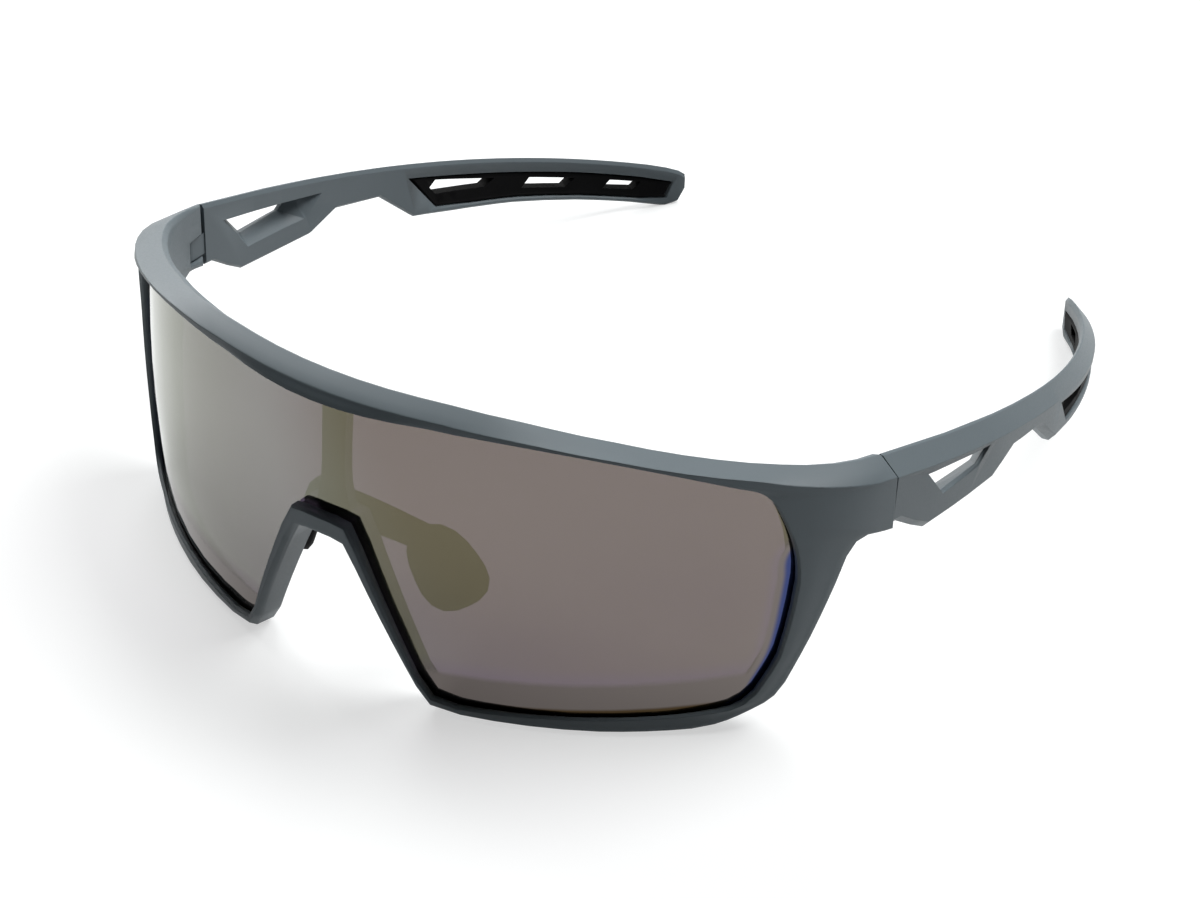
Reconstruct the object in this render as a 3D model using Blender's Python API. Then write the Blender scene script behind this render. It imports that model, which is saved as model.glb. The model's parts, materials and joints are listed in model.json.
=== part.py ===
"""Wraparound sports sunglasses: a full-rim shield frame with a one-piece lens, two folding temples
with rubber grips, hinge screws and a rubber nose piece on a bendable wire.

The front is drawn flat and then wrapped: u runs along the plan curve from the middle, v is the
height and w stands out from the face. The temples are drawn straight and then bent: s runs along
the plan curve from the hinge seam, h is the height over the falling top line and t the depth in
from the outer face. The glasses stand on the lower rim and on the two temple tips.
"""
import math

import bmesh
import bpy
from mathutils import Matrix, Vector
from mathutils.geometry import delaunay_2d_cdt

MM = 0.001

# Shield curve
HINGE_HALF_WIDTH = 69.8 * MM
END_RADIUS = 35.1 * MM
CROWN_RADIUS = 250.0 * MM
WRAP_ANGLE = math.radians(51.0)
SEAM_ANGLE = math.radians(84.0)

# Front outline
FRONT_HEIGHT = 53.9 * MM
BROW_HEIGHT = 3.6 * MM
BRIDGE_DROP = 23.2 * MM
BRIDGE_HEIGHT = 3.6 * MM
SEAM_DROP = 12.3 * MM
SEAM_HEIGHT = 11.4 * MM
END_PIECE_SPAN = 18.1 * MM
NOTCH_HALF_WIDTH = 17.4 * MM

# Front section
BROW_OVERHANG = 2.0 * MM
LIP_RAISE = 0.7 * MM
HOOD_OVERHANG = 0.8 * MM
HOOD_DROP = 0.5 * MM
HOOD_HALF_WIDTH = 18.0 * MM
RIDGE_DEPTH = 3.2 * MM
BROW_BACK_DROP = 1.9 * MM
RIM_DEPTH = 4.6 * MM
BRIDGE_DEPTH = 5.3 * MM
EDGE_ROUND = 0.5 * MM
BEVEL = 0.8 * MM

# Lens and its groove
LENS_SETBACK = 0.9 * MM
LENS_THICKNESS = 1.6 * MM
LENS_BITE = 0.5 * MM
FIT_GAP = 0.3 * MM

# Strut behind the lens
STRUT_WIDTH = 5.0 * MM
STRUT_THICKNESS = 2.4 * MM

# Temples
TEMPLE_LENGTH = 125.0 * MM
TIP_LEVEL = 9.35 * MM
TEMPLE_THICKNESS = 4.2 * MM
RIDGE_RISE = 1.0 * MM
CREASE_DROP = 1.6 * MM
HINGE_BOW_RADIUS = 480.0 * MM
TIP_BOW_RADIUS = 93.0 * MM
TEMPLE_DEPTH = 13.2 * MM
LOWER_BEVEL = 1.3 * MM
TEMPLE_TAPER = 1.3 * MM

# Stance: the floor rises towards the temple tips, seen with the front upright
STAND_LEAN = math.radians(1.15)
FLOOR_UNDER_SEAM = 0.8 * MM

# Hinge
PIN_INSET = 2.5 * MM
PIN_AHEAD = 3.1 * MM
KNUCKLE_RADIUS = 1.45 * MM
KNUCKLE_TOP = 4.3 * MM
KNUCKLE_HEIGHT = 4.0 * MM
LUG_CHAMFER = 0.7 * MM
SCREW_RADIUS = 0.6 * MM
SCREW_HEAD_RADIUS = 1.1 * MM
SCREW_HEAD_HEIGHT = 0.6 * MM
INSERT_RADIUS = 1.0 * MM
INSERT_HEIGHT = 1.6 * MM
PIN_GAP = 0.2 * MM

# Grips
GRIP_DEPTH = 1.9 * MM
GRIP_LEDGE = 1.2 * MM
GRIP_BOSS = 0.7 * MM

# Nose piece
SADDLE_HEIGHT = 5.6 * MM
SADDLE_THICKNESS = 2.6 * MM
PAD_LENGTH = 15.2 * MM
PAD_WIDTH = 10.4 * MM
PAD_THICKNESS = 2.8 * MM
WIRE_RADIUS = 0.5 * MM

OVERRUN = 2.0 * MM


def material(name, colour, roughness, metallic=0.0, alpha=1.0):
    made = bpy.data.materials.new(name)
    made.use_nodes = True
    shader = made.node_tree.nodes["Principled BSDF"]
    shader.inputs["Base Color"].default_value = (*colour, 1.0)
    shader.inputs["Roughness"].default_value = roughness
    shader.inputs["Metallic"].default_value = metallic
    shader.inputs["Alpha"].default_value = alpha
    return made


def new_object(name, mesh_bm, look=None):
    bmesh.ops.remove_doubles(mesh_bm, verts=mesh_bm.verts, dist=MM / 1000)
    bmesh.ops.triangulate(mesh_bm, faces=mesh_bm.faces)
    bmesh.ops.recalc_face_normals(mesh_bm, faces=mesh_bm.faces)
    mesh = bpy.data.meshes.new(name)
    mesh_bm.to_mesh(mesh)
    mesh_bm.free()
    made = bpy.data.objects.new(name, mesh)
    bpy.context.scene.collection.objects.link(made)
    if look:
        mesh.materials.append(look)
    return made


def smooth(piece, angle=math.radians(35.0)):
    piece.data.shade_smooth()
    piece.data.set_sharp_from_angle(angle=angle)


def boolean(target, tool, operation="DIFFERENCE"):
    """Cuts the tool out of the target, or joins it on, and hides the tool from the model."""
    tool.hide_render = True
    tool.display_type = "WIRE"
    step = target.modifiers.new(tool.name, "BOOLEAN")
    step.operation = operation
    step.object = tool
    step.solver = "EXACT"


def loft(sections, closed=False):
    """Skins a row of sections that have equally many points; an open row gets end caps."""
    mesh_bm = bmesh.new()
    rings = [[mesh_bm.verts.new(point) for point in section] for section in sections]
    pairs = list(zip(rings, rings[1:]))
    if closed:
        pairs.append((rings[-1], rings[0]))
    for here, there in pairs:
        for i in range(len(here)):
            j = (i + 1) % len(here)
            mesh_bm.faces.new((here[i], here[j], there[j], there[i]))
    if not closed:
        mesh_bm.faces.new(rings[0])
        mesh_bm.faces.new(rings[-1])
    return mesh_bm


def turned(profile, centre, segments=16):
    """Turns a profile of (radius, height) points about a vertical axis."""
    sections = []
    for radius, height in profile:
        ring = []
        for i in range(segments):
            angle = math.tau * i / segments
            ring.append(centre + Vector((radius * math.cos(angle), radius * math.sin(angle), height)))
        sections.append(ring)
    return loft(sections)


def mix(a, b, share):
    return a + (b - a) * share


def ease(share):
    share = min(max(share, 0.0), 1.0)
    return share * share * (3.0 - 2.0 * share)


# Shield curve
FRONT_RADIUS = (HINGE_HALF_WIDTH - END_RADIUS * (math.sin(SEAM_ANGLE) - math.sin(WRAP_ANGLE))
                ) / math.sin(WRAP_ANGLE)
ARC_CENTRE_Y = FRONT_RADIUS * math.cos(WRAP_ANGLE) - END_RADIUS * (
    math.cos(WRAP_ANGLE) - math.cos(SEAM_ANGLE))
WRAP_LENGTH = FRONT_RADIUS * WRAP_ANGLE
SEAM_U = WRAP_LENGTH + END_RADIUS * (SEAM_ANGLE - WRAP_ANGLE)
CROWN_HEIGHT = FRONT_HEIGHT / 2.0

# Levels and span of the front, from its own sizes
OPENING_TOP = FRONT_HEIGHT - BROW_HEIGHT
BRIDGE_TOP = FRONT_HEIGHT - BRIDGE_DROP
SEAM_TOP = FRONT_HEIGHT - SEAM_DROP
SEAM_BOTTOM = SEAM_TOP - SEAM_HEIGHT
RIM_HALF_SPAN = SEAM_U - END_PIECE_SPAN


def plan(u):
    """Point and outward direction of the shield curve at the length u from the middle."""
    side = math.copysign(1.0, u)
    length = abs(u)
    if length <= WRAP_LENGTH:
        angle = length / FRONT_RADIUS
        x = FRONT_RADIUS * math.sin(angle)
        y = ARC_CENTRE_Y - FRONT_RADIUS * math.cos(angle)
    else:
        angle = WRAP_ANGLE + (length - WRAP_LENGTH) / END_RADIUS
        x = FRONT_RADIUS * math.sin(WRAP_ANGLE) + END_RADIUS * (math.sin(angle) - math.sin(WRAP_ANGLE))
        y = ARC_CENTRE_Y - FRONT_RADIUS * math.cos(WRAP_ANGLE) + END_RADIUS * (
            math.cos(WRAP_ANGLE) - math.cos(angle))
    return Vector((side * x, y)), Vector((side * math.sin(angle), -math.cos(angle)))


def wrap(u, v, w):
    """Bends a flat point round the face; the shield is also slightly crowned in height."""
    point, outward = plan(u)
    fade = 1.0 - ease((abs(u) - WRAP_LENGTH) / (SEAM_U - WRAP_LENGTH))
    crown = -fade * (v - CROWN_HEIGHT) ** 2 / (2.0 * CROWN_RADIUS)
    place = point + outward * (w + crown)
    return Vector((place.x, place.y, v))


# Rim outlines: corners from the middle of the brow round to the middle of the bridge. The shares
# are of the rim's half span and of the front's height, the last is the round's radius share.
OPENING_TOP_SHARE = OPENING_TOP / FRONT_HEIGHT
BRIDGE_TOP_SHARE = BRIDGE_TOP / FRONT_HEIGHT
BRIDGE_BOTTOM_SHARE = (BRIDGE_TOP - BRIDGE_HEIGHT) / FRONT_HEIGHT
NOTCH_FOOT_SHARE = NOTCH_HALF_WIDTH / SEAM_U
SEAM_TOP_SHARE = SEAM_TOP / FRONT_HEIGHT
SEAM_BOTTOM_SHARE = SEAM_BOTTOM / FRONT_HEIGHT
END_ARCH_SHARE = 0.022
OPENING_CORNER_SHARES = (
    (0.000, OPENING_TOP_SHARE, 0.00), (0.310, OPENING_TOP_SHARE, 0.00),
    (0.584, OPENING_TOP_SHARE, 1.68), (0.846, 0.829, 0.00),
    (0.928, 0.798, 0.08), (0.958, 0.727, 0.30), (0.993, 0.622, 0.30), (1.003, 0.505, 0.30),
    (0.976, 0.262, 0.20), (0.914, 0.096, 0.09), (0.770, 0.072, 1.50), (0.540, 0.054, 1.50),
    (0.245, 0.034, 0.065), (0.073, BRIDGE_TOP_SHARE, 0.030), (0.000, BRIDGE_TOP_SHARE, 0.00),
)
OUTLINE_CORNER_SHARES = (
    (0.000, 1.000, 0.00), (0.290, 1.000, 1.36), (0.500, 0.9325, 0.00), (0.722, 0.861, 0.00),
    (1.000, SEAM_TOP_SHARE, 0.00), (1.000, SEAM_BOTTOM_SHARE, 0.00),
    (0.912, SEAM_BOTTOM_SHARE + END_ARCH_SHARE, 0.045), (0.883, 0.455, 0.00), (0.845, 0.300, 0.00), (0.793, 0.100, 0.11),
    (0.685, 0.012, 0.30), (0.490, 0.000, 0.00), (NOTCH_FOOT_SHARE, 0.000, 0.065),
    (0.047, BRIDGE_BOTTOM_SHARE, 0.018), (0.000, BRIDGE_BOTTOM_SHARE, 0.00),
)
STATION_STEPS = (5, 4, 4, 5, 4, 4, 3, 3, 4, 5, 5, 5, 7, 2)
# The seam's top is the first corner at full width
SEAM_CORNER = [u for u, _, _ in OUTLINE_CORNER_SHARES].index(1.0)
# How far the rounds at both ends of a short side may reach along it together
ROUNDS_MEET_SHARE = 1.01
# One value for each corner: how far the front edge of the rim stands out, how far it is raised,
# how far the crease lies below or inside the outline and stands out, how deep the ridge lies, how
# far the outline's own height is held behind the ridge, how far the back edge lies inside the
# outline, and how deep the back lies. Shares of the named sizes.
LIP_SHARES = (1.0, 1.0, 1.0, 0.75, 0.45, 0.45, 0.45, 0.45, 0.35, 0.25, 0.0, 0.0, 0.30, 0.65, 0.65)
RAISE_SHARES = (1.0, 1.0, 1.0, 0.7, 0.2, 0.0, 0.0, 0.0, 0.0, 0.0, 0.0, 0.0, 0.0, 0.0, 0.0)
CREASE_DROP_SHARES = (0.82, 0.82, 0.15, 0.35, 1.56, 0.0, 0.0, 0.0, 0.0, 0.0, 0.0, 0.0, 0.0, 0.0, 0.0)
BEVEL_SHARES = (0.0, 0.0, 0.0, 0.0, 0.0, 0.0, 1.0, 1.0, 1.0, 1.0, 1.0, 1.0, 1.0, 1.0, 1.0)
CREASE_STAND_SHARES = (1.0, 1.0, 1.0, 0.65, 0.0, 0.0, 0.0, 0.0, 0.0, 0.0, 0.0, 0.0, 0.25, 0.60, 0.60)
RIDGE_SHARES = (0.36, 0.34, 0.86, 0.90, 1.0, 0.20, 0.30, 0.30, 0.30, 0.30, 0.30, 0.30, 0.20, -0.10, -0.10)
HOLD_SHARES = (0.10, 0.10, 0.10, 0.10, 1.0, 1.0, 1.0, 1.0, 1.0, 1.0, 1.0, 1.0, 1.0, 1.0, 1.0)
BACK_DROP_SHARES = (1.2, 1.2, 0.32, 0.35, 0.0, 0.0, 0.25, 0.25, 0.25, 0.25, 0.25, 0.25, 0.25, 0.25, 0.25)
SEAM_DEPTH_SHARE = TEMPLE_THICKNESS / RIM_DEPTH
BRIDGE_DEPTH_SHARE = BRIDGE_DEPTH / RIM_DEPTH
BACK_SHARES = (0.82, 0.82, 0.82, 0.84, SEAM_DEPTH_SHARE, SEAM_DEPTH_SHARE, 0.92, 1.0, 1.0, 1.0, 1.0, 1.0,
               0.95, BRIDGE_DEPTH_SHARE, BRIDGE_DEPTH_SHARE)
FRONT_STEPS = 5
BACK_STEPS = 3


def fitted_rounds(corners):
    """Half the angle at each corner and the reach of its round along its sides.

    Where a side is too short for the rounds at both its ends, they share it.
    """
    places = [Vector((u, v)) for u, v, _ in corners]
    halves = []
    reaches = []
    for i, (_, _, radius) in enumerate(corners):
        half = math.pi / 2.0
        if radius > 0:
            back = (places[i - 1] - places[i]).normalized()
            ahead = (places[i + 1] - places[i]).normalized()
            half = math.acos(max(-1.0, min(1.0, back.dot(ahead)))) / 2.0
        halves.append(half)
        reaches.append(radius / math.tan(half) if half < math.radians(89.0) else 0.0)
    room_shares = [1.0] * len(corners)
    for i, (here, there) in enumerate(zip(places, places[1:])):
        wanted = reaches[i] + reaches[i + 1]
        side = (there - here).length * ROUNDS_MEET_SHARE
        if wanted > side:
            room_shares[i] = min(room_shares[i], side / wanted)
            room_shares[i + 1] = min(room_shares[i + 1], side / wanted)
    return halves, [reach * room for reach, room in zip(reaches, room_shares)]


def rounded_runs(corners):
    """Splits a rounded open outline at the middle of each corner's round."""
    arcs = []
    for i, (half, reach) in enumerate(zip(*fitted_rounds(corners))):
        here = Vector(corners[i][:2])
        if reach == 0:
            arcs.append([here])
            continue
        back = (Vector(corners[i - 1][:2]) - here).normalized()
        ahead = (Vector(corners[i + 1][:2]) - here).normalized()
        middle = here + (back + ahead).normalized() * (reach / math.cos(half))
        start = here + back * reach - middle
        sweep = math.pi - 2.0 * half
        turn = 1.0 if back.x * ahead.y - back.y * ahead.x < 0 else -1.0
        steps = 16
        arc = []
        for k in range(steps + 1):
            angle = turn * sweep * k / steps
            spun = Vector((start.x * math.cos(angle) - start.y * math.sin(angle),
                           start.x * math.sin(angle) + start.y * math.cos(angle)))
            arc.append(middle + spun)
        arcs.append(arc)
    runs = []
    for one, two in zip(arcs, arcs[1:]):
        runs.append(one[len(one) // 2:] + two[:len(two) // 2 + 1])
    return runs


def spaced(run, count):
    """The start points of equal steps along a run of points."""
    lengths = [0.0]
    for a, b in zip(run, run[1:]):
        lengths.append(lengths[-1] + (b - a).length)
    points = []
    k = 0
    for i in range(count):
        wanted = lengths[-1] * i / count
        while k < len(lengths) - 2 and lengths[k + 1] < wanted:
            k += 1
        step = lengths[k + 1] - lengths[k]
        points.append(run[k].lerp(run[k + 1], (wanted - lengths[k]) / step if step else 0.0))
    return points


def outline(corner_shares, width):
    corners = [(u * width, v * FRONT_HEIGHT, radius * RIM_HALF_SPAN) for u, v, radius in corner_shares]
    points = []
    for run, count in zip(rounded_runs(corners), STATION_STEPS):
        points += spaced(run, count)
    points.append(Vector(corners[-1][:2]))
    return points


def along_stations(shares):
    """A value at each station, blended from the values at the corners."""
    values = []
    for a, b, count in zip(shares, shares[1:], STATION_STEPS):
        values += [mix(a, b, i / count) for i in range(count)]
    values.append(shares[-1])
    return values


def side_directions(points, outward_sign):
    """Unit normals of an open outline whose ends lie on the middle plane."""
    normals = []
    for i, point in enumerate(points):
        before = points[i - 1] if i else Vector((-points[1].x, points[1].y))
        after = points[i + 1] if i + 1 < len(points) else Vector((-points[-2].x, points[-2].y))
        along = (after - before).normalized()
        normals.append(Vector((-along.y, along.x)) * outward_sign)
    return normals


def rim_opening():
    points = outline(OPENING_CORNER_SHARES, RIM_HALF_SPAN)
    return points, side_directions(points, 1.0)


def front_sections():
    opening, grow = rim_opening()
    edge = outline(OUTLINE_CORNER_SHARES, SEAM_U)
    shrink = side_directions(edge, -1.0)
    lips = along_stations(LIP_SHARES)
    raises = along_stations(RAISE_SHARES)
    drops = along_stations(CREASE_DROP_SHARES)
    bevels = along_stations(BEVEL_SHARES)
    stands = along_stations(CREASE_STAND_SHARES)
    ridges = along_stations(RIDGE_SHARES)
    holds = along_stations(HOLD_SHARES)
    back_drops = along_stations(BACK_DROP_SHARES)
    backs = along_stations(BACK_SHARES)
    seam_start = sum(STATION_STEPS[:SEAM_CORNER])
    seam_end = sum(STATION_STEPS[:SEAM_CORNER + 1])
    groove_front = -(LENS_SETBACK - FIT_GAP)
    groove_back = -(LENS_SETBACK + LENS_THICKNESS + FIT_GAP)
    groove_reach = LENS_BITE + FIT_GAP
    half = []
    for k, (inner, outer) in enumerate(zip(opening, edge)):
        reach = max(0.0, 1.0 - abs(inner.x) / HOOD_HALF_WIDTH) if k < seam_start else 0.0
        hood = math.sin(math.pi / 2.0 * reach)
        lip = lips[k] * BROW_OVERHANG + hood * HOOD_OVERHANG
        low = inner + Vector((0.0, raises[k] * LIP_RAISE - hood * HOOD_DROP))
        on_seam = seam_start < k <= seam_end
        crease_drop = 0.0 if on_seam else drops[k] * CREASE_DROP
        crease = outer - Vector((0.0, crease_drop)) + shrink[k] * (0.0 if on_seam else bevels[k] * BEVEL)
        stand = stands[k] * BROW_OVERHANG
        ridge = -ridges[k] * RIDGE_DEPTH
        back = -backs[k] * RIM_DEPTH
        back_edge = outer + shrink[k] * (0.0 if on_seam else back_drops[k] * BROW_BACK_DROP)
        lip_in = low + grow[k] * EDGE_ROUND * 0.5
        points = [(inner, groove_front), (low, lip - EDGE_ROUND), (lip_in, lip)]
        for i in range(1, FRONT_STEPS):
            share = i / FRONT_STEPS
            points.append((lip_in.lerp(crease, share), mix(lip, stand, ease(share))))
        points.append((crease, stand))
        points.append((crease.lerp(outer, 0.5), mix(stand, ridge, 0.5)))
        points.append((outer, ridge))
        points.append((outer, mix(ridge, back + EDGE_ROUND, holds[k])))
        points.append((back_edge, back))
        for i in range(1, BACK_STEPS):
            share = i / BACK_STEPS
            points.append((back_edge.lerp(inner, share), back))
        points.append((inner, back))
        points.append((inner, groove_back))
        points.append((inner + grow[k] * groove_reach, groove_back))
        points.append((inner + grow[k] * groove_reach, groove_front))
        half.append(points)
    return half


def wrapped_ring(half):
    """Both halves of a ring of flat sections, wrapped round the face."""
    ring = []
    for section in half:
        ring.append([wrap(p.x, p.y, w) for p, w in section])
    for section in reversed(half[1:-1]):
        ring.append([wrap(-p.x, p.y, w) for p, w in section])
    return ring


def build_front(look):
    frame = new_object("front_frame", loft(wrapped_ring(front_sections()), closed=True), look)
    smooth(frame)
    boolean(frame, build_strut(), "UNION")
    boolean(frame, floor_cutter("front"))
    for side in (1, -1):
        for tool in hinge_cutters(side):
            boolean(frame, tool)
    return frame


def build_strut():
    """The upright between brow and bridge that backs the lens."""
    top = OPENING_TOP + EDGE_ROUND
    bottom = BRIDGE_TOP - BRIDGE_HEIGHT / 3.0
    front = -(LENS_SETBACK + LENS_THICKNESS + FIT_GAP)
    back = front - STRUT_THICKNESS
    sections = []
    steps = 8
    for k in range(steps + 1):
        v = mix(top, bottom, k / steps)
        flare = 1.0 + 0.35 * ease((k / steps - 0.7) / 0.3) - 0.1 * math.sin(math.pi * k / steps)
        half = STRUT_WIDTH / 2.0 * flare
        chamfer = STRUT_THICKNESS / 4.0
        rim = ((-half, front), (half, front), (half, back + chamfer), (half - chamfer, back),
               (-half + chamfer, back), (-half, back + chamfer))
        sections.append([wrap(u, v, w) for u, w in rim])
    return new_object("strut", loft(sections))


def build_lens(look):
    """A shell that follows the shield curve, with level rows of points between its edges."""
    opening, grow = rim_opening()
    edge = [p + n * LENS_BITE for p, n in zip(opening, grow)]
    edge += [Vector((-p.x, p.y)) for p in reversed(edge[1:-1])]
    outline_sides = [(i, (i + 1) % len(edge)) for i in range(len(edge))]
    spacing = FRONT_HEIGHT / 8.0
    across = math.ceil(RIM_HALF_SPAN / spacing)
    inside = []
    for i in range(-across, across + 1):
        for j in range(1, 8):
            point = Vector((i * spacing, j * spacing))
            near = min((point - p).length for p in edge)
            if near > spacing * 0.45 and inside_outline(point, edge):
                inside.append(point)
    flat, _, triangles, *_ = delaunay_2d_cdt(edge + inside, outline_sides, [], 1, MM / 1000)
    mesh_bm = bmesh.new()
    skins = [[mesh_bm.verts.new(wrap(p.x, p.y, -depth)) for p in flat]
             for depth in (LENS_SETBACK, LENS_SETBACK + LENS_THICKNESS)]
    for triangle in triangles:
        for skin in skins:
            mesh_bm.faces.new([skin[i] for i in triangle])
    for i, j in outline_sides:
        mesh_bm.faces.new((skins[0][i], skins[0][j], skins[1][j], skins[1][i]))
    lens = new_object("shield_lens", mesh_bm, look)
    smooth(lens)
    return lens


def inside_outline(point, edge):
    """Counts how often a level ray from the point crosses the outline."""
    crossings = 0
    for a, b in zip(edge, edge[1:] + edge[:1]):
        if (a.y > point.y) != (b.y > point.y):
            crossings += point.x < a.x + (b.x - a.x) * (point.y - a.y) / (b.y - a.y)
    return crossings % 2 == 1


# Temple line
BOW_AT_HINGE = 1.0 / HINGE_BOW_RADIUS
BOW_AT_TIP = 1.0 / TIP_BOW_RADIUS
SPLAY = math.pi / 2.0 - SEAM_ANGLE
RIDGE_AT_SEAM = SEAM_TOP - RIDGE_RISE
TEMPLE_FALL = (RIDGE_AT_SEAM - TIP_LEVEL) / TEMPLE_LENGTH


def temple_heading(s):
    return SPLAY - BOW_AT_HINGE * s - (BOW_AT_TIP - BOW_AT_HINGE) * s * abs(s) / (2.0 * TEMPLE_LENGTH)


def temple_line(s):
    """Point on the outer face's plan curve, summed along the bow from the seam."""
    start, _ = plan(SEAM_U)
    x, y = start
    steps = 40
    for k in range(steps):
        heading = temple_heading(s * (k + 0.5) / steps)
        x += math.sin(heading) * s / steps
        y += math.cos(heading) * s / steps
    return x, y


def bend(s, t, h, side=1):
    x, y = temple_line(s)
    heading = temple_heading(s)
    x -= math.cos(heading) * t
    y += math.sin(heading) * t
    return Vector((side * x, y, RIDGE_AT_SEAM - TEMPLE_FALL * s + h))


# Temple side outline: shares of the length and of the depth under the top line
TEMPLE_LOWER_SHARES = (
    (0.0024, 0.790), (0.020, 0.770), (0.055, 0.905), (0.085, 1.000), (0.245, 0.745), (0.305, 0.435),
    (0.403, 0.375), (0.475, 0.755), (0.560, 0.725), (0.680, 0.645), (0.800, 0.600), (0.900, 0.580),
    (0.965, 0.580), (0.988, 0.480), (1.000, 0.280),
)
WINDOW_OUTER_SHARES = ((0.070, 0.215), (0.112, 0.575), (0.198, 0.385), (0.226, 0.160))
WINDOW_INNER_SHARES = ((0.045, 0.220), (0.100, 0.700), (0.232, 0.485), (0.272, 0.150))
# Rungs across the grip from its front edge to its back edge: top and bottom ends
GRIP_RUNG_SHARES = (
    (0.462, 0.133, 0.520, 0.630), (0.562, 0.140, 0.592, 0.610), (0.683, 0.135, 0.687, 0.550),
    (0.804, 0.125, 0.803, 0.515), (0.920, 0.125, 0.918, 0.495), (0.978, 0.150, 0.967, 0.430),
)
SLOT_SHARES = (
    ((0.507, 0.310), (0.519, 0.420), (0.620, 0.365), (0.640, 0.225), (0.519, 0.195)),
    ((0.694, 0.400), (0.778, 0.385), (0.796, 0.220), (0.709, 0.225)),
    ((0.848, 0.375), (0.905, 0.350), (0.919, 0.205), (0.862, 0.220)),
)


def temple_stations():
    """Lengths of the cuts through the temple: the outline's corners and even steps between."""
    stations = []
    longest = TEMPLE_LENGTH / 30.0
    corners = [share * TEMPLE_LENGTH for share, _ in TEMPLE_LOWER_SHARES]
    for a, b in zip(corners, corners[1:]):
        count = max(1, math.ceil((b - a) / longest))
        stations += [mix(a, b, i / count) for i in range(count)]
    stations.append(corners[-1])
    return stations


def lower_edge(s):
    share = s / TEMPLE_LENGTH
    for (a, low_a), (b, low_b) in zip(TEMPLE_LOWER_SHARES, TEMPLE_LOWER_SHARES[1:]):
        if share <= b:
            return -TEMPLE_DEPTH * mix(low_a, low_b, (share - a) / (b - a))
    return -TEMPLE_DEPTH * TEMPLE_LOWER_SHARES[-1][1]


def build_temple(side, tag, look):
    sections = []
    for s in temple_stations():
        low = lower_edge(s)
        share = s / TEMPLE_LENGTH
        near_end = min(max((share - 0.93) / 0.07, 0.0), 1.0)
        tip = 1.0 - math.sqrt(1.0 - near_end * near_end)
        rise = RIDGE_RISE * mix(1.0, -0.4, tip)
        inner = TEMPLE_THICKNESS * mix(1.0, 0.8, tip)
        outer = TEMPLE_TAPER * ease(share / 0.55) + TEMPLE_THICKNESS * 0.2 * tip
        crease = max(-CREASE_DROP, low * 0.5)
        bevel = LOWER_BEVEL * mix(1.0, 0.4, tip)
        section = (
            (outer, crease), (mix(outer, inner, 0.74), rise - EDGE_ROUND * 0.2), (inner - EDGE_ROUND, rise),
            (inner, rise - EDGE_ROUND * 1.4), (inner, low + EDGE_ROUND), (inner - EDGE_ROUND, low),
            (outer + bevel, low), (outer + bevel * 0.2, low + bevel),
        )
        sections.append([bend(s, t, h, side) for t, h in section])
    temple = new_object("temple_" + tag, loft(sections), look)
    smooth(temple, math.radians(25.0))
    boolean(temple, build_knuckle(side, tag), "UNION")
    boolean(temple, window_cutter(side, tag))
    boolean(temple, grip_pocket(side, tag))
    boolean(temple, grip_opening(side, tag))
    boolean(temple, pin_bore(side, "knuckle_bore_" + tag, SCREW_RADIUS + PIN_GAP,
                             -TEMPLE_DEPTH, TEMPLE_DEPTH))
    boolean(temple, floor_cutter("temple_" + tag))
    return temple


def bent_prism(name, loop, depths, side):
    """A prism over a side outline of (s, h) points, from one depth to the other, bent with the temple."""
    sections = [[bend(p.x, t, p.y, side) for p in loop] for t in depths]
    return new_object(name, loft(sections))


def scaled_loop(shares):
    """A side outline in real sizes."""
    return [Vector((a * TEMPLE_LENGTH, -b * TEMPLE_DEPTH)) for a, b in shares]


def grip_rungs(inset, phase):
    """Rungs across the grip, drawn in from its edges by a distance; the phase sets them off along it."""
    rungs = []
    steps = 3
    tops = scaled_loop([shares[:2] for shares in GRIP_RUNG_SHARES])
    bottoms = scaled_loop([shares[2:] for shares in GRIP_RUNG_SHARES])
    corners = list(zip(tops, bottoms))
    for here, there in zip(corners, corners[1:]):
        last = 1 if phase and there is corners[-1] else 0
        for i in range(steps - last):
            share = (i + phase) / steps if rungs else 0.0
            rungs.append((here[0].lerp(there[0], share), here[1].lerp(there[1], share)))
    rungs.append(corners[-1])
    drawn = []
    for k, (top, bottom) in enumerate(rungs):
        shift = Vector((0.0, 0.0))
        if k == 0:
            shift = Vector((inset * 1.25, 0.0))
        if k == len(rungs) - 1:
            shift = Vector((-inset, 0.0))
        down = (bottom - top).normalized()
        drawn.append((top + down * inset + shift, bottom - down * inset + shift))
    return drawn


def rung_block(name, levels, side, phase):
    """A block over the grip's rungs; each level is a depth and how far its edges are drawn in."""
    drawn = [(t, grip_rungs(inset, phase)) for t, inset in levels]
    sections = []
    for k in range(len(drawn[0][1])):
        tops = [bend(rungs[k][0].x, t, rungs[k][0].y, side) for t, rungs in drawn]
        bottoms = [bend(rungs[k][1].x, t, rungs[k][1].y, side) for t, rungs in drawn]
        sections.append(tops + bottoms[::-1])
    return new_object(name, loft(sections))


def window_cutter(side, tag):
    """The see-through window behind the hinge, with its sloping inner walls."""
    inner = scaled_loop(WINDOW_INNER_SHARES)
    outer = scaled_loop(WINDOW_OUTER_SHARES)
    depth = TEMPLE_THICKNESS
    beyond = OVERRUN / depth
    near = [a.lerp(b, -beyond * 0.3) for a, b in zip(inner, outer)]
    mid_depth = depth * 0.3
    loops = ((-OVERRUN, outer), (mid_depth, outer), (depth, inner), (depth + OVERRUN, near))
    sections = [[bend(p.x, t, p.y, side) for p in loop] for t, loop in loops]
    return new_object("window_" + tag, loft(sections))


def grip_pocket(side, tag):
    """The pocket in the inner face that holds the grip."""
    floor = TEMPLE_THICKNESS - GRIP_DEPTH
    return rung_block("pocket_" + tag, ((floor, 0.0), (TEMPLE_THICKNESS + OVERRUN, 0.0)), side, 0.0)


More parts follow.
